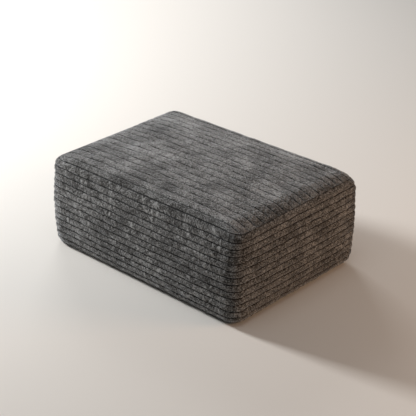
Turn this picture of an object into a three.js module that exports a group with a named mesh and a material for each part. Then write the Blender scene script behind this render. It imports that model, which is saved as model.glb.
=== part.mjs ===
// Low upholstered ottoman: one filled block in wide-wale corduroy.
// Three cut pieces make its cover: a crowned top panel whose wales run lengthwise and roll over the
// edges, one side band whose wales run round the block, and a thin base cloth that it rests on.
import * as THREE from 'three';

// Overall size in millimetres. X is the length, Y the width, and the base cloth lies on Z = 0.
const LENGTH = 914;
const WIDTH = 645;
const HEIGHT = 360;

// The round shoulder between the sides and the top: how high it is, and how far in it reaches.
const CROWN = 4;
const SHOULDER_HEIGHT = 52;
const END_SHOULDER = 54;
const SIDE_SHOULDER = 26;

// The seam on the shoulder that joins the top panel to the side band. It is pulled into a channel, the
// top panel's edge stands a little proud of the band's, and a small gap parts the two solids there.
const SEAM_HEIGHT = 342;
const SEAM_CHANNEL = 3;
const CHANNEL_WIDTH = 11;
const SEAM_LIP = 1.5;
const PIECE_GAP = 0.3;

// The side band: its round corners in plan, its bulge, and the tuck under its lower edge.
const CORNER_RADIUS = 38;
const PLAN_BOW = 0.5;
const SIDE_BULGE = 3;
const TUCK_HEIGHT = 40;
const TUCK_INSET = 30;

// The base cloth.
const BASE_THICKNESS = 2;
const BASE_MARGIN = 3;

// Wales, the raised ribs of the cloth: their widths on each piece, how much of the first one the seam
// leaves, and how deep the grooves between them are.
const TOP_WALE = 36.5;
const TOP_FIRST_WALE = 26.4;
const BAND_WALE = 25.6;
const BAND_FIRST_WALE = 28.8;
const WALE_DEPTH = 2.8;
const WALE_FADE = 0.12;

// Where a wale's cross-section is cut into facets, from one groove to the next.
const WALE_SECTION = [
  { across: 0.0, depth: 1.0 },
  { across: 0.13, depth: 0.22 },
  { across: 0.5, depth: 0.0 },
  { across: 0.87, depth: 0.22 },
];

// Steps round one corner of the plan, along each straight side, and along one wale of the top.
const CORNER_STEPS = 6;
const LONG_SIDE_STEPS = 6;
const SHORT_SIDE_STEPS = 4;
const TOP_STEPS = 22;
const CROWDING = 0.75;
const PATH_STEPS = 400;
const EDGE_MARGIN = 1.5;

const CORDUROY = { color: 0x4f4d4b, roughness: 0.95, metalness: 0 };
const BASE_CLOTH = { color: 0x1d1c1b, roughness: 0.9, metalness: 0 };

// Rows of a ribbed piece that is cut from one wale's first part to a last length: each row's distance
// from the near edge and its share of the groove's depth.
function waleRows(firstWale, wale, length) {
  const rows = [{ distance: 0, depth: 0 }];
  for (let groove = firstWale - wale; groove < length; groove += wale) {
    for (const { across, depth } of WALE_SECTION) {
      const distance = groove + across * wale;
      if (distance > EDGE_MARGIN && distance < length - EDGE_MARGIN) rows.push({ distance, depth });
    }
  }
  rows.push({ distance: length, depth: 0 });
  return rows;
}

// A path of Vector2 given by a function of 0 to 1, as its length and its point at a distance along it.
function measuredPath(pointAt) {
  const points = [];
  for (let step = 0; step <= PATH_STEPS; step += 1) points.push(pointAt(step / PATH_STEPS));
  const lengths = [0];
  for (let step = 1; step <= PATH_STEPS; step += 1) {
    lengths.push(lengths[step - 1] + points[step].distanceTo(points[step - 1]));
  }
  const length = lengths[PATH_STEPS];
  const at = (distance) => {
    const found = lengths.findIndex((reached) => reached >= distance);
    const step = found < 0 ? PATH_STEPS : Math.max(1, found);
    const share = (distance - lengths[step - 1]) / (lengths[step] - lengths[step - 1]);
    return points[step - 1].clone().lerp(points[step], THREE.MathUtils.clamp(share, 0, 1));
  };
  return { length, at };
}

// The sides bow outwards in plan, so the corners draw in a little.
function bowed(x, y, halfLength, halfWidth) {
  const alongX = x / halfLength;
  const alongY = y / halfWidth;
  return new THREE.Vector2(x - alongX * PLAN_BOW * alongY ** 2, y - alongY * PLAN_BOW * alongX ** 2);
}

// A closed ring of the plan: elliptical corners joined by straight stretches, then bowed.
function planRing({ insetX, insetY, cornerX, cornerY, z }) {
  const halfLength = LENGTH / 2 - insetX;
  const halfWidth = WIDTH / 2 - insetY;
  const flat = [];
  for (let corner = 0; corner < 4; corner += 1) {
    const signX = corner === 0 || corner === 3 ? 1 : -1;
    const signY = corner < 2 ? 1 : -1;
    for (let step = 0; step <= CORNER_STEPS; step += 1) {
      const angle = ((corner + step / CORNER_STEPS) * Math.PI) / 2;
      const x = signX * (halfLength - cornerX) + cornerX * Math.cos(angle);
      const y = signY * (halfWidth - cornerY) + cornerY * Math.sin(angle);
      flat.push(new THREE.Vector2(x, y));
    }
    const sideSteps = corner % 2 === 0 ? LONG_SIDE_STEPS : SHORT_SIDE_STEPS;
    const start = flat[flat.length - 1];
    const end = corner % 2 === 0
      ? new THREE.Vector2(-start.x, start.y)
      : new THREE.Vector2(start.x, -start.y);
    for (let step = 1; step < sideSteps; step += 1) flat.push(start.clone().lerp(end, step / sideSteps));
  }
  return flat.map((point) => {
    const place = bowed(point.x, point.y, halfLength, halfWidth);
    return new THREE.Vector3(place.x, place.y, z);
  });
}

// A closed solid through a stack of equal rings, its first and last ring filled by a fan.
function loftedSolid(rings) {
  const count = rings[0].length;
  const positions = [];
  const faces = [];
  for (const ring of rings) for (const point of ring) positions.push(point.x, point.y, point.z);
  for (let row = 0; row + 1 < rings.length; row += 1) {
    for (let column = 0; column < count; column += 1) {
      const a = row * count + column;
      const b = row * count + ((column + 1) % count);
      faces.push(a, b, b + count, a, b + count, a + count);
    }
  }
  const last = (rings.length - 1) * count;
  for (let column = 1; column + 1 < count; column += 1) {
    faces.push(0, column + 1, column);
    faces.push(last, last + column, last + column + 1);
  }
  const geometry = new THREE.BufferGeometry();
  geometry.setAttribute('position', new THREE.Float32BufferAttribute(positions, 3));
  geometry.setIndex(faces);
  geometry.computeVertexNormals();
  return geometry;
}

// How far the seam's channel pulls the cloth in, at a distance from the seam.
function seamChannel(distance) {
  return SEAM_CHANNEL * Math.max(0, 1 - distance / CHANNEL_WIDTH) ** 2;
}

// The shoulder's quarter ellipse: the share of its reach that is left at a height.
const SHOULDER_FOOT = HEIGHT - CROWN - SHOULDER_HEIGHT - SEAM_LIP;

function shoulderLeft(z) {
  const risen = THREE.MathUtils.clamp((z - SHOULDER_FOOT) / SHOULDER_HEIGHT, 0, 1);
  return Math.sqrt(1 - risen ** 2);
}

// Side band
// One filled block under the seam. Its cloth runs from the seam over the round shoulder, down the bulged
// side and under the tucked lower edge, with its wales level all round.
const BAND_TOP = SEAM_HEIGHT - PIECE_GAP;
const BAND_FLOOR = BASE_THICKNESS + PIECE_GAP;
const WALL_SHARE = 0.85;

// The long side's section: inset and height, by a share that reaches the tuck at WALL_SHARE.
function sidePoint(share) {
  if (share > WALL_SHARE) {
    const angle = ((share - WALL_SHARE) / (1 - WALL_SHARE)) * (Math.PI / 2);
    const inset = SIDE_BULGE + TUCK_INSET * (1 - Math.cos(angle));
    return new THREE.Vector2(inset, BAND_FLOOR + TUCK_HEIGHT * (1 - Math.sin(angle)));
  }
  const fallen = share / WALL_SHARE;
  const z = THREE.MathUtils.lerp(BAND_TOP, BAND_FLOOR + TUCK_HEIGHT, fallen);
  const bulge = SIDE_BULGE * (1 - Math.sin(Math.PI * fallen));
  return new THREE.Vector2(bulge + SIDE_SHOULDER * (1 - shoulderLeft(z)), z);
}

function bandRing(path, distance, depth) {
  const { x: inset, y: z } = path.at(distance);
  const along = path.at(distance + 1).sub(path.at(distance - 1)).normalize();
  const sink = depth * WALE_DEPTH;
  const left = shoulderLeft(z);
  const toSeam = THREE.MathUtils.clamp((z - SHOULDER_FOOT) / (BAND_TOP - SHOULDER_FOOT), 0, 1);
  const insetY = inset + seamChannel(distance) - sink * along.y;
  return planRing({
    insetX: insetY + (END_SHOULDER - SIDE_SHOULDER) * (1 - left),
    insetY,
    cornerX: THREE.MathUtils.lerp(CORNER_RADIUS, END_SHOULDER * left, toSeam),
    cornerY: THREE.MathUtils.lerp(CORNER_RADIUS, SIDE_SHOULDER * left, toSeam),
    z: z + (depth > 0 ? sink * along.x : 0),
  });
}

function sideBand() {
  const path = measuredPath(sidePoint);
  const rows = waleRows(BAND_FIRST_WALE, BAND_WALE, path.length);
  return loftedSolid(rows.map(({ distance, depth }) => bandRing(path, distance, depth)).reverse());
}

// Top panel
// The filled cap over the seam. Each row of points lies along the length and runs down both shoulders to
// the seam, and the rows step across the wales.
const FLAT_LENGTH = LENGTH / 2 - SIDE_BULGE - END_SHOULDER;
const FLAT_WIDTH = WIDTH / 2 - SIDE_BULGE - SIDE_SHOULDER;
const SEAM_REACH = shoulderLeft(SEAM_HEIGHT);

// How far over the shoulder a place is: 0 on the flat, 1 where the sides would stand upright.
function overShoulder(x, y) {
  const end = Math.max(0, Math.abs(x) - FLAT_LENGTH) / END_SHOULDER;
  const side = Math.max(0, Math.abs(y) - FLAT_WIDTH) / SIDE_SHOULDER;
  return { end, side, over: Math.min(SEAM_REACH, Math.hypot(end, side)) };
}

function topHeight(x, y) {
  const { over } = overShoulder(x, y);
  const crown = CROWN * (1 - (x / (LENGTH / 2)) ** 2) * (1 - (y / (WIDTH / 2)) ** 2);
  const shoulder = SHOULDER_HEIGHT * Math.sqrt(1 - over ** 2);
  return SHOULDER_FOOT + SEAM_LIP + shoulder + crown * (1 - (over / SEAM_REACH) ** 2);
}

function topNormal(x, y) {
  const reach = 1.5;
  const slopeX = (topHeight(x + reach, y) - topHeight(x - reach, y)) / (2 * reach);
  const slopeY = (topHeight(x, y + reach) - topHeight(x, y - reach)) / (2 * reach);
  return new THREE.Vector3(-slopeX, -slopeY, 1).normalize();
}

// A point of the cloth, sunk where a groove or the seam's channel pulls it in.
function topPoint(x, y, depth) {
  const { end, side, over } = overShoulder(x, y);
  const left = SEAM_REACH - over;
  const channel = over > 0 ? seamChannel(left * END_SHOULDER) / Math.hypot(end, side) : 0;
  const fade = THREE.MathUtils.smoothstep(left, 0, WALE_FADE);
  const pulledX = x - Math.sign(x) * channel * end;
  const pulledY = y - Math.sign(y) * channel * side;
  const plan = bowed(pulledX, pulledY, LENGTH / 2, WIDTH / 2);
  const point = new THREE.Vector3(plan.x, plan.y, topHeight(x, y));
  return point.addScaledVector(topNormal(x, y), -depth * WALE_DEPTH * fade);
}

function topPanel() {
  const halfWidth = FLAT_WIDTH + SIDE_SHOULDER * SEAM_REACH;
  const across = measuredPath((share) => {
    const y = halfWidth * Math.sin((share - 0.5) * Math.PI);
    return new THREE.Vector2(y, topHeight(0, y));
  });
  const rings = waleRows(TOP_FIRST_WALE, TOP_WALE, across.length).map(({ distance, depth }) => {
    const y = across.at(distance).x;
    const left = Math.max(0, SEAM_REACH ** 2 - overShoulder(0, y).side ** 2);
    const halfLength = FLAT_LENGTH + END_SHOULDER * Math.sqrt(left);
    const ring = [];
    for (let step = 0; step <= TOP_STEPS; step += 1) {
      const even = (step / TOP_STEPS) * 2 - 1;
      const x = halfLength * THREE.MathUtils.lerp(even, Math.sin((even * Math.PI) / 2), CROWDING);
      ring.push(topPoint(x, y, depth));
    }
    const first = ring[0];
    const last = ring[TOP_STEPS];
    ring.push(new THREE.Vector3(last.x, last.y, SEAM_HEIGHT), new THREE.Vector3(first.x, first.y, SEAM_HEIGHT));
    return ring;
  });
  return loftedSolid(rings);
}

// Base cloth
// A thin flat sheet under the block, set in from the tucked edge.
function basePanel() {
  const inset = TUCK_INSET + SIDE_BULGE + BASE_MARGIN;
  const corner = CORNER_RADIUS - BASE_MARGIN;
  const sheet = { insetX: inset, insetY: inset, cornerX: corner, cornerY: corner };
  return loftedSolid([0, BASE_THICKNESS].map((z) => planRing({ ...sheet, z })));
}

function namedMesh(name, geometry, finish) {
  const mesh = new THREE.Mesh(geometry, new THREE.MeshStandardMaterial(finish));
  mesh.name = name;
  return mesh;
}

const ottoman = new THREE.Group();
ottoman.add(namedMesh('top_panel', topPanel(), CORDUROY));
ottoman.add(namedMesh('side_band', sideBand(), CORDUROY));
ottoman.add(namedMesh('base_panel', basePanel(), BASE_CLOTH));

export default ottoman;
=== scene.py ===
import bpy
import numpy as np
from mathutils import Matrix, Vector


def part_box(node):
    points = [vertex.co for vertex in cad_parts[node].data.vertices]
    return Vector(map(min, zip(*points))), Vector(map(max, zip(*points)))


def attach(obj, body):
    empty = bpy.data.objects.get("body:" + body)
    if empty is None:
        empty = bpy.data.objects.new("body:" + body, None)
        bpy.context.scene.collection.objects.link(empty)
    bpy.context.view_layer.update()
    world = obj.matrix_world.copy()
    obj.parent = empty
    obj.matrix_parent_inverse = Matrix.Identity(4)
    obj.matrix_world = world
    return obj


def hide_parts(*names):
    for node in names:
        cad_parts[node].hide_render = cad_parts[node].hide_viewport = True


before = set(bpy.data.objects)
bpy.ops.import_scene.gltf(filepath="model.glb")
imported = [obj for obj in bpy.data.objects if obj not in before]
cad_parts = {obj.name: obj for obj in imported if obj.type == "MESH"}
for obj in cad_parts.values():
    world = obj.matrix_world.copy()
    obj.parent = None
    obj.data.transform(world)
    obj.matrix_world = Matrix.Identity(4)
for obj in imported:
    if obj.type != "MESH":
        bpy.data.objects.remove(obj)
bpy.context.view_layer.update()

# The view
# A long lens looks down at the near corner of the block, where the long side and the right end meet.
VIEW_AZIMUTH = np.radians(41.38)
VIEW_ELEVATION = np.radians(26.40)
VIEW_ROLL = np.radians(1.24)
VIEW_DISTANCE = 4.442
VIEW_AIM = np.array([0.0168, 0.0116, 0.18])
VIEW_LENS = 107.24
SENSOR_WIDTH = 36.0


def view_axes(azimuth, elevation, roll):
    """Right, up and back of something that looks at the block from azimuth and elevation, then turns
    by roll about its own line of sight."""
    back = np.array([
        np.sin(azimuth) * np.cos(elevation),
        -np.cos(azimuth) * np.cos(elevation),
        np.sin(elevation),
    ])
    level = np.cross(-back, [0, 0, 1])
    level /= np.linalg.norm(level)
    upright = np.cross(level, -back)
    right = np.cos(roll) * level + np.sin(roll) * upright
    up = -np.sin(roll) * level + np.cos(roll) * upright
    return right, up, back


def placed(name, data, axes, place):
    """A new object whose own axes and place are the columns of its matrix."""
    holder = bpy.data.objects.new(name, data)
    holder.matrix_world = Matrix(np.vstack([np.column_stack([*axes, place]), [0, 0, 0, 1]]))
    bpy.context.scene.collection.objects.link(holder)
    return holder


view_frame = view_axes(VIEW_AZIMUTH, VIEW_ELEVATION, VIEW_ROLL)
lens = bpy.data.cameras.new("view")
lens.lens = VIEW_LENS
lens.sensor_width = SENSOR_WIDTH
view_place = VIEW_AIM + view_frame[2] * VIEW_DISTANCE
bpy.context.scene.camera = placed("view", lens, view_frame, view_place)

# The floor and the light
# A pale warm floor throws soft light back on the block. A window to the left lights the long side and
# rakes over the top, broad weak lamps hang above and behind, and a low warm one stands beyond the right
# end.
FLOOR_SIZE = 24.0
FLOOR_COLOR = (0.72, 0.685, 0.64, 1)
FLOOR_ROUGHNESS = 0.9
FLOOR_SHINE = 0.2
ROOM_COLOR = (0.95, 0.97, 1.0, 1)
ROOM_STRENGTH = 0.13
SOFT_LIGHTS = [
    # name, place, width, power, colour
    ("window", (-3.8, -1.05, 1.8), 0.7, 240, (0.98, 0.99, 1.0)),
    ("ceiling", (0.4, -0.8, 3.2), 1.8, 14, (0.94, 0.98, 1.0)),
    ("behind", (-3.6, 2.6, 2.4), 2.0, 84, (0.98, 0.99, 1.0)),
    ("warm", (2.8, 1.5, 0.95), 1.3, 42, (1.0, 0.62, 0.37)),
]

edge = FLOOR_SIZE / 2
floor_corners = [(-edge, -edge, 0), (edge, -edge, 0), (edge, edge, 0), (-edge, edge, 0)]
floor_mesh = bpy.data.meshes.new("floor")
floor_mesh.from_pydata(floor_corners, [], [(0, 1, 2, 3)])
floor = bpy.data.objects.new("floor", floor_mesh)
bpy.context.scene.collection.objects.link(floor)
floor_finish = bpy.data.materials.new("pale_floor")
floor_finish.use_nodes = True
floor_shader = floor_finish.node_tree.nodes["Principled BSDF"]
floor_shader.inputs["Base Color"].default_value = FLOOR_COLOR
floor_shader.inputs["Roughness"].default_value = FLOOR_ROUGHNESS
floor_shader.inputs["Specular IOR Level"].default_value = FLOOR_SHINE
floor_mesh.materials.append(floor_finish)

room = bpy.data.worlds.new("room")
room.use_nodes = True
room.node_tree.nodes["Background"].inputs["Color"].default_value = ROOM_COLOR
room.node_tree.nodes["Background"].inputs["Strength"].default_value = ROOM_STRENGTH
bpy.context.scene.world = room
bpy.context.scene.view_settings.view_transform = "Standard"

for name, place, width, power, color in SOFT_LIGHTS:
    lamp = bpy.data.lights.new(name, "AREA")
    lamp.energy = power
    lamp.size = width
    lamp.color = color
    azimuth = np.arctan2(place[0], -place[1])
    elevation = np.arctan2(place[2], np.hypot(*place[:2]))
    placed(name, lamp, view_axes(azimuth, elevation, 0), place)

# The filled block
# Soft filling gives the ottoman its form: upright sides with round corners, a round shoulder up to the
# top and a tuck under the lower edge. Its sections are worked out here and the cover is laid over them.
top_low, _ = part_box("top_panel")
band_low, band_high = (np.array(corner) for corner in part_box("side_band"))
HALF_LENGTH = (band_high[0] - band_low[0]) / 2
HALF_WIDTH = (band_high[1] - band_low[1]) / 2
HALF_SIZE = np.array([HALF_LENGTH, HALF_WIDTH])
SEAM_HEIGHT = top_low[2]
FLOOR_GAP = band_low[2]
END_BULGE = 0.003
SIDE_BULGE = 0.012
PLAN_BOW = 0.0005
CORNER_RADIUS = 0.038
SHOULDER_FOOT = 0.3025
SHOULDER_HEIGHT = 0.052
END_SHOULDER = 0.054
SIDE_SHOULDER = 0.026
TUCK_HEIGHT = 0.040
TUCK_INSET = 0.030
TUCK_FILLED = 0.5
TUCK_FADE = 4
CORNERS = np.array([
    # the corner's signs, its reach in X and Y, its drawn-in shift in X and Y, the end's roll and dip,
    # and whether the filling fills its tuck
    [1, 1, 0.036, 0.032, -0.006, 0.002, 0.060, 0.0, 0.0],
    [-1, 1, 0.046, 0.034, -0.002, 0.004, 0.024, 0.0, 0.0],
    [-1, -1, 0.066, 0.040, 0.0, 0.0, 0.080, 0.003, 1.0],
    [1, -1, 0.048, 0.048, -0.010, -0.009, 0.080, 0.006, 0.0],
])
REACHES, SHIFTS, ROLL, DIP, TUCK = [2, 3], [4, 5], 6, 7, 8
SEAM_CORNER = np.array([0.060, 0.038])
SHIFT_AT_SEAM = 0.35
END_DIP_REACH = 0.080
PATH_POINTS = 600


def shoulder_left(height):
    """Share of the shoulder's reach that is left at a height: a quarter ellipse, 1 at its foot."""
    risen = np.clip((height - SHOULDER_FOOT) / SHOULDER_HEIGHT, 0, 1)
    return np.sqrt(1 - risen ** 2)


def by_corner(xy, columns):
    """Values of the table of corners at places in the plan, blended between the four corners by the
    shares of the half-sizes."""
    share = np.clip(xy / HALF_SIZE, -1, 1)[..., None, :]
    weight = ((1 + CORNERS[:, :2] * share) / 2).prod(axis=-1)
    return weight @ CORNERS[:, columns]


def draw_in(xy, pull):
    """Pulls places near the corners in, so the sides bow: each coordinate shrinks by the bow times the
    square of the other one's share of its half-size, and moves by the corners' shift times the pull."""
    share = xy / HALF_SIZE
    return xy - PLAN_BOW * share * share[..., ::-1] ** 2 + pull * by_corner(xy, SHIFTS)


def end_dip(xy):
    """How far the seam dips towards the ends: the square of the share of the last stretch, times the
    corners' own dip."""
    start = HALF_LENGTH - END_SHOULDER / 2 - END_DIP_REACH
    share = np.clip((np.abs(xy[..., 0]) - start) / END_DIP_REACH, 0, 1)
    return by_corner(xy, DIP) * share ** 2


def path_by_length(points):
    """A finely stepped path as a function of the distance along it, and its whole length."""
    steps = np.linalg.norm(np.diff(points, axis=0), axis=1)
    length = np.concatenate([[0], np.cumsum(steps)])
    return lambda wanted: np.stack([np.interp(wanted, length, side) for side in points.T]), length[-1]


# The cover's cloth
# Wide-wale corduroy, woven with cut pile in round ridges. The ridges are about an inch wide on the band
# and nearly half as wide again on the top. They wander a little where the cloth was pulled over the
# filling, and the filling presses each panel out between its seams.
GROOVE_WIDTH = 0.0050
RIDGE_SHARE = 0.65
CLEFT_SHARE = 0.35
RELIEF_FADE = 0.006
WALE_STEPS = np.array([0, 0.035, 0.08, 0.15, 0.25, 0.37, 0.5, 0.63, 0.75, 0.85, 0.92, 0.965])
WALE_SWELL = 0.0006
WALE_APART = 0.7
WALE_NOISE_WIDTH = 3.0
RIDGE_WAVES = 12
SWELL_WAVES = 14
TUFT_WAVES = 24
WAVE_RANGE = (0.6, 1.6)
CHANNEL_DEPTH = 0.0040
CHANNEL_WIDTH = 0.0050
CHANNEL_AT_ENDS = 0.05
# width of the painted shade beside the seam
SEAM_PAINTED_SHADE = 0.0030
SEAM_HOLD = 0.055
RIM_IN = [0.985, 0.98, 1]
PRESS_FRAMES = 20
PRESS_ROOM = 0.006
PRESS_LIMIT = 0.012
PRESS_PROUD = 0.0025
PRESS_CLOTH = {
    "vertex_group_mass": "held",
    "quality": 8,
    "mass": 0.4,
    "tension_stiffness": 160,
    "compression_stiffness": 160,
    "shear_stiffness": 60,
    "bending_stiffness": 6,
    "use_pressure": True,
    "uniform_pressure_force": 4,
}
TINY = 1e-9


def wale_rows(grooves):
    """Rows of a panel as wales across and metres, from its edges and grooves in order: each wale has
    rows crowded at its grooves."""
    whole = len(grooves) - 1
    wales = np.append((np.arange(whole)[:, None] + WALE_STEPS).ravel(), whole)
    return wales, np.interp(wales, np.arange(whole + 1), grooves)


def wale_relief(wales, pitch, depth, roundness):
    """Height of the ridged cloth, 0 on a crest and minus the depth in a groove: the distance from the
    crest raised to a power, with the last stretch beside each groove rounded down into it."""
    across = np.abs(2 * (wales % 1) - 1)
    ridge = (1 - across ** roundness) ** (1 / roundness)
    cleft = np.exp(-((1 - across) * pitch / GROOVE_WIDTH) ** 2)
    return depth * (RIDGE_SHARE * (ridge - 1) - CLEFT_SHARE * cleft)


def soft_noise(along, across, length, width, waves, seed):
    """Smooth unevenness between about -1 and 1: a sum of sine waves with seeded directions, whose
    lengths lie round length one way and width the other."""
    chance = np.random.default_rng(seed)
    total = np.zeros(np.broadcast(along, across).shape)
    for _ in range(waves):
        turns = chance.uniform(*WAVE_RANGE, 2) / [length, width] * chance.choice([-1, 1], 2)
        total += np.sin(2 * np.pi * (along * turns[0] + across * turns[1] + chance.uniform()))
    return total / np.sqrt(waves)


def uneven(
    relief, along, across, seed,
    groove_change, groove_length, swell_length, tuft_height, tuft_length, tuft_width,
):
    """The wales' relief made uneven: it is multiplied by 1 plus a noise that differs from groove to
    groove, then a swell that differs from wale to wale and the small tufts of the pile are added."""
    by_groove, by_wale = np.round(across) * WALE_APART, np.floor(across) * WALE_APART
    depth = soft_noise(along, by_groove, groove_length, WALE_NOISE_WIDTH, RIDGE_WAVES, seed)
    swell = soft_noise(along, by_wale, swell_length, WALE_NOISE_WIDTH, SWELL_WAVES, seed + 1)
    tufts = soft_noise(along, across, tuft_length, tuft_width, TUFT_WAVES, seed + 2)
    return relief * (1 + groove_change * depth) + WALE_SWELL * swell + tuft_height * tufts


def tightness(toward_side):
    """How tightly the seam is drawn in: its least at the ends, and up by the root of how squarely it
    faces a long side to 1."""
    return CHANNEL_AT_ENDS + (1 - CHANNEL_AT_ENDS) * toward_side ** 0.5


def seam_channel(from_seam, tight):
    """Depth of the channel beside the seam: the square of what is left of its width."""
    return CHANNEL_DEPTH * tight * np.clip(1 - from_seam / CHANNEL_WIDTH, 0, 1) ** 2


def seam_painted_shade(from_seam, tight):
    """Painted shade beside the seam, where the cloth dips into the seam's recess: what is left of the
    shade's width, times the square of how tightly the seam is drawn in."""
    return tight ** 2 * np.clip(1 - from_seam / SEAM_PAINTED_SHADE, 0, 1)


def eased(distance, reach):
    """0 at an edge and 1 past its reach, with a smooth cubic between."""
    share = np.clip(distance / reach, 0, 1)
    return share ** 2 * (3 - 2 * share)


def surface_normals(points, ring):
    """Unit normals of a grid of points, from the cross product of its steps along rows and columns. A
    ring's rows close on themselves."""
    if ring:
        along = np.roll(points, -1, axis=1) - np.roll(points, 1, axis=1)
    else:
        along = np.gradient(points, axis=1)
    normals = np.cross(along, np.gradient(points, axis=0))
    return normals / np.maximum(np.linalg.norm(normals, axis=2, keepdims=True), TINY)


def grid_quads(rows, columns, ring):
    """Quads of a grid of rows and columns, whose rows close on themselves in a ring."""
    row = np.arange(rows - 1)[:, None] * columns
    column = np.arange(columns if ring else columns - 1)[None, :]
    after = (column + 1) % columns
    corners = [row + column, row + after, row + columns + after, row + columns + column]
    return np.stack(corners, axis=-1).reshape(-1, 4)


def softly_stopped(movement, limit):
    """Movement whose size is slowed down to the limit: the limit times the hyperbolic tangent of the
    size's share of it."""
    size = np.linalg.norm(movement, axis=2, keepdims=True)
    return movement * (np.tanh(size / limit) * limit / np.maximum(size, TINY))


def pressed_out(points, free, ring):
    """How the filling moves a coarse grid of cloth: it starts inside by the room to swell, and a cloth
    simulation under pressure with no gravity presses it out from its held edges, where free is 0. The
    filling's own form then stops it softly, a little proud of where it was cut to lie."""
    rows, columns = points.shape[:2]
    start = points - surface_normals(points, ring) * PRESS_ROOM * free[..., None]
    mesh = bpy.data.meshes.new("pressed")
    mesh.from_pydata(start.reshape(-1, 3), [], grid_quads(rows, columns, ring).tolist())
    sheet = bpy.data.objects.new("pressed", mesh)
    bpy.context.scene.collection.objects.link(sheet)
    pins = sheet.vertex_groups.new(name="held")
    pins.add(np.flatnonzero(free.ravel() == 0).tolist(), 1.0, "ADD")
    cloth = sheet.modifiers.new("cloth", "CLOTH")
    for key, value in PRESS_CLOTH.items():
        setattr(cloth.settings, key, value)
    cloth.settings.effector_weights.gravity = 0
    cloth.point_cache.frame_start = 1
    cloth.point_cache.frame_end = PRESS_FRAMES
    scene = bpy.context.scene
    for step in range(1, PRESS_FRAMES + 1):
        scene.frame_set(step)
    settled = sheet.evaluated_get(bpy.context.evaluated_depsgraph_get()).to_mesh()
    moved = np.empty(rows * columns * 3, dtype=np.float32)
    settled.vertices.foreach_get("co", moved)
    scene.frame_set(1)
    bpy.data.objects.remove(sheet)
    bpy.data.meshes.remove(mesh)
    movement = softly_stopped(moved.reshape(points.shape) - start, PRESS_LIMIT)
    return softly_stopped((start + movement - points) * free[..., None], PRESS_PROUD)


def carried_over(coarse, coarse_places, fine_places, period=None):
    """Carries values from evenly spaced coarse places to fine ones along the first axis. Each fine
    value is a cubic spline's weighted mean of its coarse neighbours, and a period closes the places into
    a ring."""
    step = coarse_places[1] - coarse_places[0]
    apart = fine_places[:, None] - coarse_places[None]
    if period is not None:
        apart = (apart + period / 2) % period - period / 2
    apart = np.abs(apart) / step
    near = 2 / 3 - apart ** 2 + apart ** 3 / 2
    far = np.maximum(2 - apart, 0) ** 3 / 6
    weight = np.where(apart < 1, near, far)
    weight /= weight.sum(axis=1, keepdims=True)
    return np.tensordot(weight, coarse, axes=1)


def cover_piece(name, points, cloth_place, shades, closings, ring):
    """A closed mesh: the grid of points, then for each loop of its rim a ring of points inside the block
    and one face that closes it. Its UV map holds metres along a wale and wales across. Two attributes
    hold the painted shade in the seam's channel and how open the grooves are, which sets how strongly
    their ground weave and painted shade show."""
    rows, columns = points.shape[:2]
    quads = grid_quads(rows, columns, ring)
    all_points = [points.reshape(-1, 3)]
    all_places = [cloth_place.reshape(-1, 2)]
    all_shades = [shades.reshape(-1, 2)]
    faces = quads.tolist()
    count = rows * columns
    for loop, inner in closings:
        fresh = count + np.arange(len(loop))
        faces += np.stack([loop, fresh, np.roll(fresh, -1), np.roll(loop, -1)], axis=-1).tolist()
        faces.append(fresh.tolist())
        all_points.append(inner)
        all_places.append(all_places[0][loop])
        all_shades.append(all_shades[0][loop])
        count += len(loop)
    mesh = bpy.data.meshes.new(name)
    mesh.from_pydata(np.concatenate(all_points), [], faces)
    corners = np.empty(len(mesh.loops), dtype=np.int32)
    mesh.loops.foreach_get("vertex_index", corners)
    cloth_map = mesh.uv_layers.new(name="cloth")
    corner_places = np.concatenate(all_places)[corners].astype(np.float32)
    cloth_map.data.foreach_set("uv", corner_places.ravel())
    shades_by_name = np.concatenate(all_shades).astype(np.float32).T
    for label, values in zip(("seam_painted_shade", "groove_open"), shades_by_name):
        attribute = mesh.attributes.new(label, "FLOAT", "POINT")
        attribute.data.foreach_set("value", np.ascontiguousarray(values))
    mesh.polygons.foreach_set("use_smooth", np.arange(len(mesh.polygons)) < len(quads))
    mesh.update()
    piece = bpy.data.objects.new(name, mesh)
    bpy.context.scene.collection.objects.link(piece)
    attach(piece, "root")
    return piece


# The side band
# One strip of corduroy runs round the block under the seam, its wales level. It comes out of the seam
# over the round shoulder, bulges a little, and is tucked under the lower edge above the base cloth.
BAND_WALE = 0.0256
BAND_FIRST_WALE = 0.0288
BAND_LAST_WALE = 0.3
BAND_DEPTH = 0.0055
BAND_ROUNDNESS = 2.0
BAND_UNEVEN = {
    "groove_change": 0.25,
    "groove_length": 0.16,
    "swell_length": 0.09,
    "tuft_height": 0.0011,
    "tuft_length": 0.017,
    "tuft_width": 0.8,
}
BAND_WANDER = 0.0011
BAND_WAVES = [
    # turns round the block, lean with the distance from the seam, start, size
    (3, 9, 0.4, 0.7),
    (7, 14, 2.1, 0.5),
    (13, 25, 4.0, 0.4),
    (29, 40, 1.2, 0.25),
]
BAND_SEED = 4
BAND_COLUMNS = 560
BAND_COARSE = (30, 160)
END_SEAM_SOFT = 0.014
END_SEAM_FLAT = 0.6
END_SEAM_CLOSED = 0.85
PUCKER_HEIGHT = 0.0010
PUCKER_LENGTH = 0.022
PUCKER_REACH = 0.030
BAND_RIM_DROP = 0.004
LOWER_RIM_IN = [0.97, 0.96, 1]


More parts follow.
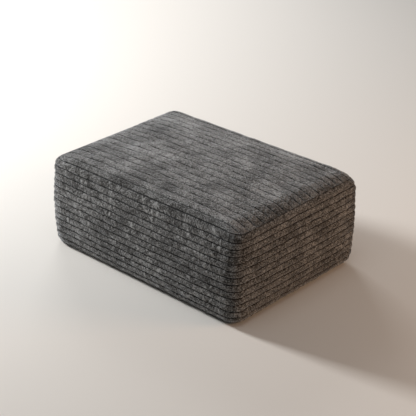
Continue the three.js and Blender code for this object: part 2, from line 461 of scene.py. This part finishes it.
def plan_columns(count):
    """Places round the plan, evenly spaced: the signs of the corner that each turns about, its outward
    direction and its distance. Along a straight side the signs run from corner to corner."""
    straight = np.tile(2 * (HALF_SIZE - CORNER_RADIUS), 2)
    stretches = np.ravel(np.column_stack([np.full(4, CORNER_RADIUS * np.pi / 2), straight]))
    ends = np.cumsum(stretches)
    along = (np.arange(count) + 0.5) / count * ends[-1]
    stretch = np.searchsorted(ends, along)
    share = 1 - (ends[stretch] - along) / stretches[stretch]
    corner = stretch // 2
    angle = (corner + np.where(stretch % 2 == 0, share, 1)) * np.pi / 2
    signs = np.array([[1, 1], [-1, 1], [-1, -1], [1, -1]])
    onward = (signs[(corner + 1) % 4] - signs[corner]) * share[:, None]
    centre = signs[corner] + np.where(stretch % 2 == 0, 0, 1)[:, None] * onward
    return centre, np.column_stack([np.cos(angle), np.sin(angle)]), along, ends[-1]


def band_section():
    """The long side's section as inset and height: the shoulder's ellipse down to its foot, an upright
    wall, and a quarter ellipse tucked under."""
    height = np.linspace(SEAM_HEIGHT, FLOOR_GAP + TUCK_HEIGHT, PATH_POINTS)
    wall = np.column_stack([SIDE_SHOULDER * (1 - shoulder_left(height)), height])
    turn = np.linspace(0, np.pi / 2, PATH_POINTS // 4)[1:]
    tuck_inset = TUCK_INSET * (1 - np.cos(turn))
    tuck_height = FLOOR_GAP + TUCK_HEIGHT * (1 - np.sin(turn))
    return path_by_length(np.concatenate([wall, np.column_stack([tuck_inset, tuck_height])]))


def band_surface(distance, columns):
    """The band without its wales: at each distance from the seam, the plan at that height's inset, with
    corners that turn from round to the seam's own on the way up, and a half sine of bulge. The tuck is
    shallower at the corner that the filling fills, by a power of the nearness to it."""
    section, length = band_section()
    centre, outward, _, _ = plan_columns(columns)
    inset, height = section(distance)
    place = centre * HALF_SIZE
    tuck_left = 1 - TUCK_FILLED * by_corner(place, TUCK) ** TUCK_FADE
    inset = inset * np.where(height < FLOOR_GAP + TUCK_HEIGHT, tuck_left, 1)
    to_seam = np.clip((height - SHOULDER_FOOT) / (SEAM_HEIGHT - SHOULDER_FOOT), 0, 1)[..., None]
    bulge = np.sin(np.pi * np.clip(distance / length, 0, 1))
    wider_shoulder = (END_SHOULDER - SIDE_SHOULDER) * (1 - shoulder_left(height))
    inset_x = inset + wider_shoulder + END_BULGE * (1 - bulge)
    inset_y = inset + END_BULGE - SIDE_BULGE * bulge
    half = HALF_SIZE - np.stack([inset_x, inset_y], axis=-1)
    reach = by_corner(place, REACHES)
    radii = reach + (SEAM_CORNER - reach) * to_seam
    xy = centre * (half - radii) + outward * radii
    height = height[..., None] - end_dip(xy)[..., None] * to_seam
    return np.concatenate([draw_in(xy, 1 + (SHIFT_AT_SEAM - 1) * to_seam), height], axis=-1)


band_length = band_section()[1]
band_grooves = np.arange(BAND_FIRST_WALE, band_length - BAND_LAST_WALE * BAND_WALE, BAND_WALE)
band_wales, band_distance = wale_rows([0, *band_grooves, band_length])
_, band_outward, band_along, band_round = plan_columns(BAND_COLUMNS)
round_turn = 2 * np.pi * band_along / band_round
band_waves = sum(
    size * np.sin(turns * round_turn + band_distance[:, None] * lean + start)
    for turns, lean, start, size in BAND_WAVES
)
band_slack = np.sin(np.pi * band_distance / band_length)[:, None] ** 0.5
band_laid = band_distance[:, None] + BAND_WANDER * band_waves * band_slack
band_points = band_surface(np.clip(band_laid, 0, band_length), BAND_COLUMNS)
coarse_rows, coarse_columns = BAND_COARSE
coarse_distance = np.linspace(0, band_length, coarse_rows)
coarse_along = plan_columns(coarse_columns)[2]
coarse_free = eased(coarse_distance, SEAM_HOLD) * eased(band_length - coarse_distance, SEAM_HOLD)
coarse_free = np.repeat(coarse_free[:, None], coarse_columns, axis=1)
coarse_laid = np.repeat(coarse_distance[:, None], coarse_columns, axis=1)
coarse_points = band_surface(coarse_laid, coarse_columns)
pressed = pressed_out(coarse_points[::-1], coarse_free[::-1], ring=True)[::-1]
pressed = carried_over(pressed, coarse_distance, band_distance).swapaxes(0, 1)
pressed = carried_over(pressed, coarse_along, band_along, band_round).swapaxes(0, 1)
band_points = band_points + pressed
band_normals = -surface_normals(band_points, ring=True)

band_metres = np.repeat(band_along[None], len(band_wales), axis=0)
band_across = np.repeat(band_wales[:, None], BAND_COLUMNS, axis=1)
band_from_seam = np.repeat(band_distance[:, None], BAND_COLUMNS, axis=1)
band_from_edge = np.minimum(band_from_seam, band_length - band_from_seam)
band_tight = tightness(np.abs(band_outward[:, 1]))
band_soft = (1 - band_tight) * np.clip(1 - band_from_seam / END_SEAM_SOFT, 0, 1)
band_relief = wale_relief(band_across, BAND_WALE, BAND_DEPTH, BAND_ROUNDNESS)
band_relief = uneven(band_relief, band_metres, band_across, BAND_SEED, **BAND_UNEVEN)
band_relief *= np.clip(band_from_edge / RELIEF_FADE, 0, 1)
band_relief -= seam_channel(band_from_seam, band_tight)
band_relief *= 1 - END_SEAM_FLAT * band_soft
turning = np.abs(2 * band_outward.prod(axis=1)) ** 0.5
pucker = np.sin(2 * np.pi * band_along / PUCKER_LENGTH) * np.exp(-band_from_seam / PUCKER_REACH)
band_relief += PUCKER_HEIGHT * pucker * turning
band_points = band_points + band_normals * band_relief[..., None]
band_grid = np.arange(band_across.size).reshape(band_across.shape)
upper_ring = band_points[0] * RIM_IN - [0, 0, BAND_RIM_DROP]
lower_ring = band_points[-1] * LOWER_RIM_IN
# the painted shade beside the seam, and how open the grooves are, which sets how strongly their ground
# weave and painted shade show
band_shades = [seam_painted_shade(band_from_seam, band_tight), 1 - END_SEAM_CLOSED * band_soft]
band = cover_piece(
    "band_cover",
    band_points[::-1],
    np.stack([band_metres, band_across], axis=-1)[::-1],
    np.stack(band_shades, axis=-1)[::-1],
    [(band_grid[0, ::-1], lower_ring[::-1]), (band_grid[-1], upper_ring)],
    ring=True,
)
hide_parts("side_band")

# The top panel
# A panel of the same corduroy with its wales lengthwise. It is crowned by the filling, and rolls over
# the ends in a wide curve and over the long edges in a tighter one before the seam takes it.
TOP_WALE = 0.0365
TOP_GROOVES = [
    -0.291, -0.254, -0.217, -0.181, -0.145, -0.107, -0.070, -0.032, 0.005,
    0.037, 0.073, 0.110, 0.145, 0.180, 0.211, 0.243, 0.275,
]
TOP_DEPTH = 0.0027
TOP_ROUNDNESS = 3.0
TOP_DEEPER_ROLLED = 0.9
TOP_UNEVEN = {
    "groove_change": 0.3,
    "groove_length": 0.22,
    "swell_length": 0.13,
    "tuft_height": 0.0005,
    "tuft_length": 0.019,
    "tuft_width": 0.7,
}
TOP_WANDER = 0.0016
TOP_WANDER_LENGTH = 0.34
TOP_WANDER_WIDTH = 0.25
TOP_WANDER_WAVES = 10
TOP_WANDER_SEED = 3
TOP_SEED = 7
TOP_COLUMNS = 410
TOP_COARSE = (36, 48)
TOP_RISE = 0.0163
CROWN = 0.004
SEAM_LIP = 0.0007
SIDE_ROLL = 0.033
SEAM_END = HALF_LENGTH - END_BULGE - END_SHOULDER * (1 - shoulder_left(SEAM_HEIGHT))
SEAM_SIDE = HALF_WIDTH - END_BULGE - SIDE_SHOULDER * (1 - shoulder_left(SEAM_HEIGHT))
OPEN_MIDDLE = 0.60
OPEN_TO_FRONT = 0.50
OPEN_ROLLED = 0.8
TOP_RIM_RISE = 0.001


def to_seam_line(place, limit, own_limit, reach, own_reach):
    """How far out the seam lies at a place along the other axis: its limit, less a quarter ellipse of
    corner."""
    over = np.clip((np.abs(place) - (own_limit - own_reach)) / own_reach, 0, 1)
    return limit - reach * (1 - np.sqrt(1 - over ** 2))


def seam_end_at(y):
    """How far towards an end the seam lies at a place across."""
    return to_seam_line(y, SEAM_END, SEAM_SIDE, *SEAM_CORNER)


def seam_gaps(x, y):
    """How far a place on the top is inside the seam, towards the nearer end and the nearer side."""
    end = seam_end_at(y) - np.abs(x)
    side = to_seam_line(x, SEAM_SIDE, SEAM_END, *SEAM_CORNER[::-1]) - np.abs(y)
    return np.maximum(end, 0), np.maximum(side, 0)


def end_rolled(xy, end):
    """How far the cloth has come over an end: 0 on the flat and 1 at the seam."""
    return np.clip(1 - end / by_corner(xy, ROLL), 0, 1)


def top_surface(y, spread):
    """The panel without its wales: each row lies at its place across and its points are spread from one
    end's seam to the other's. The crown falls as the squares of the shares of the half-length and
    half-width, and both rolls fall as the square of how far they have come."""
    y = np.clip(y, -SEAM_SIDE, SEAM_SIDE)
    x = spread * seam_end_at(y)
    end, side = seam_gaps(x, y)
    crown = CROWN * (1 - (x / HALF_LENGTH) ** 2) * (1 - (y / HALF_WIDTH) ** 2)
    xy = np.stack(np.broadcast_arrays(x, y), axis=-1)
    left = (1 - end_rolled(xy, end) ** 2) * (1 - np.clip(1 - side / SIDE_ROLL, 0, 1) ** 2)
    height = SEAM_HEIGHT + SEAM_LIP + (TOP_RISE + crown) * left - end_dip(xy)
    return np.concatenate([draw_in(xy, SHIFT_AT_SEAM), height[..., None]], axis=-1)


top_wales, top_place = wale_rows([-SEAM_SIDE, *TOP_GROOVES, SEAM_SIDE])
top_spread = np.linspace(-1, 1, TOP_COLUMNS)
top_across = np.repeat(top_wales[:, None], TOP_COLUMNS, axis=1)
top_waves = soft_noise(
    top_spread[None] * HALF_LENGTH, top_place[:, None],
    TOP_WANDER_LENGTH, TOP_WANDER_WIDTH, TOP_WANDER_WAVES, TOP_WANDER_SEED,
)
top_slack = np.cos(np.pi / 2 * top_place / SEAM_SIDE)[:, None] ** 0.5
top_laid = top_place[:, None] + TOP_WANDER * top_waves * top_slack
top_points = top_surface(top_laid, top_spread[None])
top_metres = top_points[..., 0].copy()
top_end, top_side = seam_gaps(top_spread[None] * seam_end_at(top_laid), top_laid)
top_diagonal = np.maximum(np.hypot(top_end, top_side), TINY)
top_from_seam = top_end * top_side / top_diagonal
coarse_rows, coarse_columns = TOP_COARSE
coarse_place = np.linspace(-SEAM_SIDE, SEAM_SIDE, coarse_rows)
coarse_spread = np.linspace(-1, 1, coarse_columns)
coarse_laid = np.repeat(coarse_place[:, None], coarse_columns, axis=1)
coarse_points = top_surface(coarse_laid, coarse_spread[None])
from_sides = (SEAM_SIDE - np.abs(coarse_place))[:, None]
from_ends = (1 - np.abs(coarse_spread)) * HALF_LENGTH
coarse_free = eased(from_sides, SEAM_HOLD) * eased(from_ends, SEAM_HOLD)
pressed = pressed_out(coarse_points, coarse_free, ring=False)
pressed = carried_over(pressed, coarse_place, top_place).swapaxes(0, 1)
pressed = carried_over(pressed, coarse_spread, top_spread).swapaxes(0, 1)
top_points = top_points + pressed
top_normals = surface_normals(top_points, ring=False)
top_rolled = end_rolled(top_points[..., :2], top_end)
top_tight = tightness(top_end / top_diagonal)
top_relief = wale_relief(top_across, TOP_WALE, TOP_DEPTH, TOP_ROUNDNESS)
top_relief *= 1 + TOP_DEEPER_ROLLED * top_rolled
top_relief = uneven(top_relief, top_metres, top_across, TOP_SEED, **TOP_UNEVEN)
top_relief *= np.clip(top_from_seam / RELIEF_FADE, 0, 1)
top_relief -= seam_channel(top_from_seam, top_tight)
# how open the grooves are, which sets how strongly their ground weave and painted shade show
top_open = OPEN_MIDDLE - OPEN_TO_FRONT * top_laid / SEAM_SIDE + OPEN_ROLLED * top_rolled
top_points = top_points + top_normals * top_relief[..., None]
top_grid = np.arange(top_across.size).reshape(top_across.shape)
rim = np.concatenate([top_grid[0, :-1], top_grid[:-1, -1], top_grid[-1, :0:-1], top_grid[:0:-1, 0]])
rim = rim[::-1]
under_ring = top_points.reshape(-1, 3)[rim] * RIM_IN + [0, 0, TOP_RIM_RISE]
# the painted shade beside the seam, and how open the grooves are, which sets how strongly their ground
# weave and painted shade show
top_shades = [seam_painted_shade(top_from_seam, top_tight), np.clip(top_open, 0, 1)]
top = cover_piece(
    "top_cover",
    top_points,
    np.stack([top_metres, top_across], axis=-1),
    np.stack(top_shades, axis=-1),
    [(rim, under_ring)],
    ring=False,
)
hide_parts("top_panel")

# The corduroy's finish
# Charcoal cut pile. It lies in soft light and dark patches by its nap, breaks into crushed spots along
# each wale that carry a painted highlight, shows dark ground weave with painted shade in the grooves,
# has painted shade at the seam, and has a pale bloom at a glancing angle.
PILE_SHADES = [
    (0.00, (0.014, 0.012, 0.010, 1)),
    (0.35, (0.058, 0.054, 0.050, 1)),
    (0.65, (0.128, 0.124, 0.118, 1)),
    (1.00, (0.290, 0.286, 0.280, 1)),
]
# the grooves' colour: dark ground weave with painted shade of the groove's hollow in it
GROUND_WEAVE_AND_SHADE = (0.006, 0.005, 0.004, 1)
# how much of the ground weave and painted shade shows in the grooves
GROUND_AND_SHADE_SHOWN = 0.97
# pale crushed pile with a painted highlight on it
CRUSHED_TIP_AND_HIGHLIGHT = (0.33, 0.325, 0.315, 1)
PILE_ROUGHNESS = 0.92
PILE_SHINE = 0.12
SHEEN_ROUGHNESS = 0.38
SHEEN_TINT = (0.92, 0.96, 1.0, 1)
PILE_BUMP = 0.0035
CRUSH_HEIGHT = 0.7
TUFT_HEIGHT = 0.6
# noises, with their turns to the metre along the wales, or along and across them
GROOVE_DRIFT = {"counted": "ROUND", "apart": 3.7, "turns": 22.0, "seed": 3.1, "detail": 2.0}
STREAKS = {"counted": "FLOOR", "apart": 5.17, "turns": 24.0, "seed": 7.7, "detail": 3.0}
CRUSH = {"turns": (90.0, 75.0), "seed": 1.3, "detail": 3.0}
TUFTS = {"turns": (260.0, 210.0), "seed": 4.9, "detail": 1.0}
FLECKS = {"turns": (92.0, 60.0), "seed": 9.3, "detail": 1.0}
PATCHES = {"Detail": 3.0, "Roughness": 0.6}
ZONES = {"Scale": 9.0, "Detail": 2.0}
# where an effect starts and where it is full: by the seam's painted shade, the share of a groove's
# half-width, the noise that it follows, or metres along the block
SEAM_EDGE = (0.2, 0.7)
GROOVE_EDGE = (0.95, 0.30)
GROOVE_FADE = (0.32, 0.55)
FLECK_PEAKS = (0.54, 0.70)
FLECK_ZONES = (0.34, 0.58)
FLECK_ENDS = (0.455, 0.36)


class Effect:
    """Puts nodes into one node tree. Each call makes a node, joins or sets its inputs and gives back
    its output. An input is named, or is given by its number as i0, i1 and so on."""

    def __init__(self, tree):
        self.tree = tree

    def made(self, kind, settings, inputs):
        made = self.tree.nodes.new(kind)
        for key, value in settings.items():
            setattr(made, key, value)
        for key, value in inputs.items():
            socket = made.inputs[int(key[1:]) if key[1:].isdigit() else key.replace("_", " ")]
            if isinstance(value, bpy.types.NodeSocket):
                self.tree.links.new(value, socket)
            else:
                socket.default_value = value
        return made

    def node(self, kind, output=0, settings=None, **inputs):
        return self.made(kind, settings or {}, inputs).outputs[output]

    def group(self, source, **inputs):
        return self.made("ShaderNodeGroup", {"node_tree": source}, inputs).outputs

    def math(self, operation, *values):
        numbered = {f"i{number}": value for number, value in enumerate(values)}
        return self.node("ShaderNodeMath", settings={"operation": operation}, **numbered)

    def ramp(self, value, low, high):
        smooth = {"interpolation_type": "SMOOTHSTEP"}
        return self.node("ShaderNodeMapRange", 0, smooth, Value=value, From_Min=low, From_Max=high)

    def mixed(self, share, first, second):
        return self.node("ShaderNodeMix", 2, {"data_type": "RGBA"}, i0=share, i6=first, i7=second)

    def flat_noise(self, along, across, seed, detail):
        place = self.node("ShaderNodeCombineXYZ", X=along, Y=across, Z=seed)
        return self.node("ShaderNodeTexNoise", Vector=place, Scale=1.0, Detail=detail)


def effect_group(name, inputs, outputs, build):
    """A named shader group: its sockets are made first, then build wires the inputs to the outputs."""
    group = bpy.data.node_groups.new(name, "ShaderNodeTree")
    for label, kind in inputs:
        group.interface.new_socket(label, in_out="INPUT", socket_type=kind)
    for label in outputs:
        group.interface.new_socket(label, in_out="OUTPUT", socket_type="NodeSocketFloat")
    entry = group.nodes.new("NodeGroupInput")
    leave = group.nodes.new("NodeGroupOutput")
    results = build(Effect(group), {label: entry.outputs[label] for label, _ in inputs})
    for label, socket in results.items():
        group.links.new(socket, leave.inputs[label])
    return group


def noise_along(effect, given, counted, apart, turns, seed, detail):
    """Noise along the wales, its own for each wale or each groove: the place across is rounded down or
    to the nearest, and times how far apart the noises lie."""
    number = effect.math("MULTIPLY", effect.math(counted, given["Across"]), apart)
    return effect.flat_noise(effect.math("MULTIPLY", given["Along"], turns), number, seed, detail)


def noise_over(effect, given, turns, seed, detail):
    """Noise that runs over the wales, with its turns to the metre along and across them."""
    metres_across = effect.math("MULTIPLY", given["Across"], given["Wale"])
    along = effect.math("MULTIPLY", given["Along"], turns[0])
    return effect.flat_noise(along, effect.math("MULTIPLY", metres_across, turns[1]), seed, detail)


def wire_grooves(effect, given):
    """Groove is 1 on the line between two wales and falls smoothly to 0 at half the groove's width. It
    marks the dark ground weave there together with painted shade in the groove's hollow. It weakens and
    strengthens along the line by a slow noise, the less the more open it is."""
    across = effect.math("FRACT", given["Across"])
    middle = effect.math("SUBTRACT", effect.math("MULTIPLY", across, 2.0), 1.0)
    from_groove = effect.math("SUBTRACT", 1.0, effect.math("ABSOLUTE", middle))
    apart = effect.math("MULTIPLY", from_groove, effect.math("MULTIPLY", given["Wale"], 0.5))
    share = effect.math("DIVIDE", apart, effect.math("MULTIPLY", given["Width"], 0.5))
    line = effect.ramp(share, *GROOVE_EDGE)
    slow = noise_along(effect, given, **GROOVE_DRIFT)
    closed = effect.math("SUBTRACT", 1.0, given["Open"])
    strength = effect.math("MULTIPLY_ADD", effect.ramp(slow, *GROOVE_FADE), closed, given["Open"])
    return {"Groove": effect.math("MULTIPLY", line, strength)}


def wire_pile(effect, given):
    """Patches are slow noise over the whole block, streaks slow noise along each wale, its own for each,
    crush a quick noise that runs over the wales, and tufts the fine grain of the cut pile. Each one
    less a half is weighed by its own input, and they add up round a half."""
    place, scale = given["Place"], given["Patch Scale"]
    patches = effect.node("ShaderNodeTexNoise", Vector=place, Scale=scale, **PATCHES)
    streaks = noise_along(effect, given, **STREAKS)
    crush = noise_over(effect, given, **CRUSH)
    tufts = noise_over(effect, given, **TUFTS)
    shade = 0.5
    noises = {"Patches": patches, "Streaks": streaks, "Crush": crush, "Tufts": tufts}
    for weight, noise in noises.items():
        from_half = effect.math("SUBTRACT", noise, 0.5)
        shade = effect.math("MULTIPLY_ADD", from_half, given[weight], shade)
    tuft_height = effect.math("MULTIPLY", tufts, TUFT_HEIGHT)
    return {"Shade": shade, "Height": effect.math("MULTIPLY_ADD", crush, CRUSH_HEIGHT, tuft_height)}


def wire_flecks(effect, given):
    """Fleck is 1 on short spots where the pile is crushed across the wale and a painted highlight lies
    on it: the peaks of a quick noise, kept where a slow noise over the block is high and faded out
    towards the ends."""
    spots = noise_over(effect, given, **FLECKS)
    zones = effect.node("ShaderNodeTexNoise", Vector=given["Place"], **ZONES)
    kept = effect.math("MULTIPLY", effect.ramp(spots, *FLECK_PEAKS), effect.ramp(zones, *FLECK_ZONES))
    length = effect.math("ABSOLUTE", effect.node("ShaderNodeSeparateXYZ", "X", Vector=given["Place"]))
    kept = effect.math("MULTIPLY", kept, effect.ramp(length, *FLECK_ENDS))
    return {"Fleck": effect.math("MULTIPLY", kept, given["Amount"])}


FLOAT, VECTOR = "NodeSocketFloat", "NodeSocketVector"
IN_CLOTH = [("Along", FLOAT), ("Across", FLOAT), ("Wale", FLOAT)]
WEIGHTS = [(weight, FLOAT) for weight in ("Patches", "Streaks", "Crush", "Tufts")]
grooves_effect = effect_group(
    "groove_weave_and_painted_shade", IN_CLOTH + [("Width", FLOAT), ("Open", FLOAT)], ["Groove"], wire_grooves
)
pile_effect = effect_group(
    "cut_pile",
    [("Place", VECTOR)] + IN_CLOTH + [("Patch Scale", FLOAT)] + WEIGHTS,
    ["Shade", "Height"],
    wire_pile,
)
fleck_effect = effect_group(
    "crushed_flecks_and_highlight", [("Place", VECTOR)] + IN_CLOTH + [("Amount", FLOAT)], ["Fleck"], wire_flecks
)


def corduroy_finish(name, wale, groove_width, sheen, flecks, patch_scale, **weights):
    """Charcoal corduroy for one panel: the pile's shade through a run of greys, dark ground weave with
    painted shade in the grooves, painted shade at the seam, a painted pale highlight on crushed flecks,
    with the pile's height as a bump."""
    material = bpy.data.materials.new(name)
    material.use_nodes = True
    tree = material.node_tree
    effect = Effect(tree)
    shader = tree.nodes["Principled BSDF"]
    shader.inputs["Roughness"].default_value = PILE_ROUGHNESS
    shader.inputs["Specular IOR Level"].default_value = PILE_SHINE
    shader.inputs["Sheen Weight"].default_value = sheen
    shader.inputs["Sheen Roughness"].default_value = SHEEN_ROUGHNESS
    shader.inputs["Sheen Tint"].default_value = SHEEN_TINT
    cloth = effect.node("ShaderNodeUVMap", settings={"uv_map": "cloth"})
    in_cloth = {
        "Along": effect.node("ShaderNodeSeparateXYZ", "X", Vector=cloth),
        "Across": effect.node("ShaderNodeSeparateXYZ", "Y", Vector=cloth),
        "Wale": wale,
    }
    place = effect.node("ShaderNodeTexCoord", "Object")
    # the painted shade beside the seam, and how open the grooves are
    seam = effect.node("ShaderNodeAttribute", "Fac", {"attribute_name": "seam_painted_shade"})
    opened = effect.node("ShaderNodeAttribute", "Fac", {"attribute_name": "groove_open"})
    groove = effect.group(grooves_effect, Width=groove_width, Open=opened, **in_cloth)["Groove"]
    pile = effect.group(pile_effect, Place=place, Patch_Scale=patch_scale, **in_cloth, **weights)
    fleck = effect.group(fleck_effect, Place=place, Amount=flecks, **in_cloth)["Fleck"]
    greys = tree.nodes.new("ShaderNodeValToRGB")
    stops = greys.color_ramp.elements
    for _ in PILE_SHADES[2:]:
        stops.new(0.5)
    for stop, (position, color) in zip(stops, PILE_SHADES):
        stop.position = position
        stop.color = color
    tree.links.new(pile["Shade"], greys.inputs[0])
    # painted shade at the seam, and ground weave with painted shade in the grooves
    darkened = effect.math("MAXIMUM", groove, effect.ramp(seam, *SEAM_EDGE))
    # crushed flecks with their painted highlight, kept off the grooves
    crushed = effect.math("MULTIPLY", fleck, effect.math("SUBTRACT", 1.0, groove))
    tipped_and_highlighted = effect.mixed(crushed, greys.outputs[0], CRUSHED_TIP_AND_HIGHLIGHT)
    color = effect.mixed(effect.math("MULTIPLY", darkened, GROUND_AND_SHADE_SHOWN), tipped_and_highlighted, GROUND_WEAVE_AND_SHADE)
    tree.links.new(color, shader.inputs["Base Color"])
    bump = effect.node("ShaderNodeBump", Strength=1.0, Distance=PILE_BUMP, Height=pile["Height"])
    tree.links.new(bump, shader.inputs["Normal"])
    return material


band_finish = corduroy_finish(
    "charcoal_corduroy_band",
    wale=BAND_WALE,
    groove_width=0.0058,
    sheen=0.55,
    flecks=0.85,
    patch_scale=11.0,
    Patches=0.75,
    Streaks=0.5,
    Crush=1.2,
    Tufts=2.3,
)
top_finish = corduroy_finish(
    "charcoal_corduroy_top",
    wale=TOP_WALE,
    groove_width=0.0050,
    sheen=0.40,
    flecks=0.35,
    patch_scale=8.0,
    Patches=1.7,
    Streaks=0.4,
    Crush=0.9,
    Tufts=2.4,
)
band.data.materials.append(band_finish)
top.data.materials.append(top_finish)

# The base cloth
# A thin black plain-woven cloth closes the underside. Its hem is turned in and stitched down all round,
# and it is stretched flat inside the tucked lower edge, so that the block rests on it.
BASE_COLUMNS = 240
BASE_CORNER = 0.035
BASE_EDGE = 0.001
BASE_EDGE_HEIGHT = 0.6
BASE_MIDDLE = 0.285
HEM_START = 0.003
HEM_WIDTH = 0.014
HEM_STEP = 0.0004
HEM_STEP_WIDTH = 0.0012
HEM_ROWS = 8
MIDDLE_ROWS = 16
STITCH_INSET = 0.003
STITCH_WIDTH = 0.0008
STITCH_HEIGHT = 0.0002
BASE_DARK = (0.014, 0.013, 0.012, 1)
BASE_DUSTY = (0.030, 0.028, 0.026, 1)
BASE_ROUGHNESS = 0.85
BASE_SHINE = 0.2
DUST = {"Scale": 14.0, "Detail": 4.0}
DUST_EDGE = (0.35, 0.75)
THREADS = {"Scale": 160.0, "Distortion": 0.6}
WEAVE_BUMP = 0.0005
WEAVE_STRENGTH = 0.6

base_low, base_high = (np.array(corner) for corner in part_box("base_panel"))
base_half = (base_high - base_low)[:2] / 2
base_thickness = base_high[2] - base_low[2]


def base_rings(columns, insets):
    """The base cloth's outline at each inset, a rectangle with round corners whose radius shrinks with
    the inset until it is sharp."""
    centre, outward, _, _ = plan_columns(columns)
    radius = np.maximum(BASE_CORNER - insets, 0)[:, None, None]
    return centre * (base_half - insets[:, None, None] - radius) + outward * radius


hem_insets = np.linspace(HEM_START, HEM_WIDTH, HEM_ROWS)
middle_insets = np.linspace(HEM_WIDTH + BASE_EDGE, BASE_MIDDLE, MIDDLE_ROWS)
base_insets = np.concatenate([[0, BASE_EDGE], hem_insets, middle_insets])
base_xy = base_rings(BASE_COLUMNS, base_insets)
stitch = np.exp(-((base_insets - HEM_WIDTH + STITCH_INSET) / STITCH_WIDTH) ** 2)[:, None]
under = HEM_STEP * eased(base_insets - HEM_WIDTH, HEM_STEP_WIDTH)[:, None] + STITCH_HEIGHT * stitch
under = under * np.ones(BASE_COLUMNS)
upper = np.full_like(under, base_thickness)
upper[0] = base_thickness * BASE_EDGE_HEIGHT
lower_grid = np.concatenate([base_xy, under[..., None]], axis=-1)
upper_grid = np.concatenate([base_xy, upper[..., None]], axis=-1)
base_points = np.concatenate([lower_grid[::-1], upper_grid])
base_rows = 2 * len(base_insets)
inner_lower = np.arange(BASE_COLUMNS)
inner_upper = (base_rows - 1) * BASE_COLUMNS + inner_lower
base_faces = grid_quads(base_rows, BASE_COLUMNS, ring=True).tolist()
base_faces += [inner_lower[::-1].tolist(), inner_upper.tolist()]
base_mesh = bpy.data.meshes.new("base_cloth")
base_mesh.from_pydata(base_points.reshape(-1, 3), [], base_faces)
base = bpy.data.objects.new("base_cloth", base_mesh)
bpy.context.scene.collection.objects.link(base)
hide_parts("base_panel")
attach(base, "root")

base_finish = bpy.data.materials.new("black_base_cloth")
base_finish.use_nodes = True
base_tree = base_finish.node_tree
base_effect = Effect(base_tree)
base_shader = base_tree.nodes["Principled BSDF"]
base_shader.inputs["Roughness"].default_value = BASE_ROUGHNESS
base_shader.inputs["Specular IOR Level"].default_value = BASE_SHINE
base_where = base_effect.node("ShaderNodeTexCoord", "Object")
threads_x, threads_y = (
    base_effect.node(
        "ShaderNodeTexWave", 0, {"bands_direction": direction}, Vector=base_where, **THREADS
    )
    for direction in "XY"
)
weave = base_effect.math("MULTIPLY", threads_x, threads_y)
dust = base_effect.node("ShaderNodeTexNoise", Vector=base_where, **DUST)
base_color = base_effect.mixed(base_effect.ramp(dust, *DUST_EDGE), BASE_DARK, BASE_DUSTY)
base_tree.links.new(base_color, base_shader.inputs["Base Color"])
base_bump = base_effect.node(
    "ShaderNodeBump", Strength=WEAVE_STRENGTH, Distance=WEAVE_BUMP, Height=weave
)
base_tree.links.new(base_bump, base_shader.inputs["Normal"])
base_mesh.materials.append(base_finish)
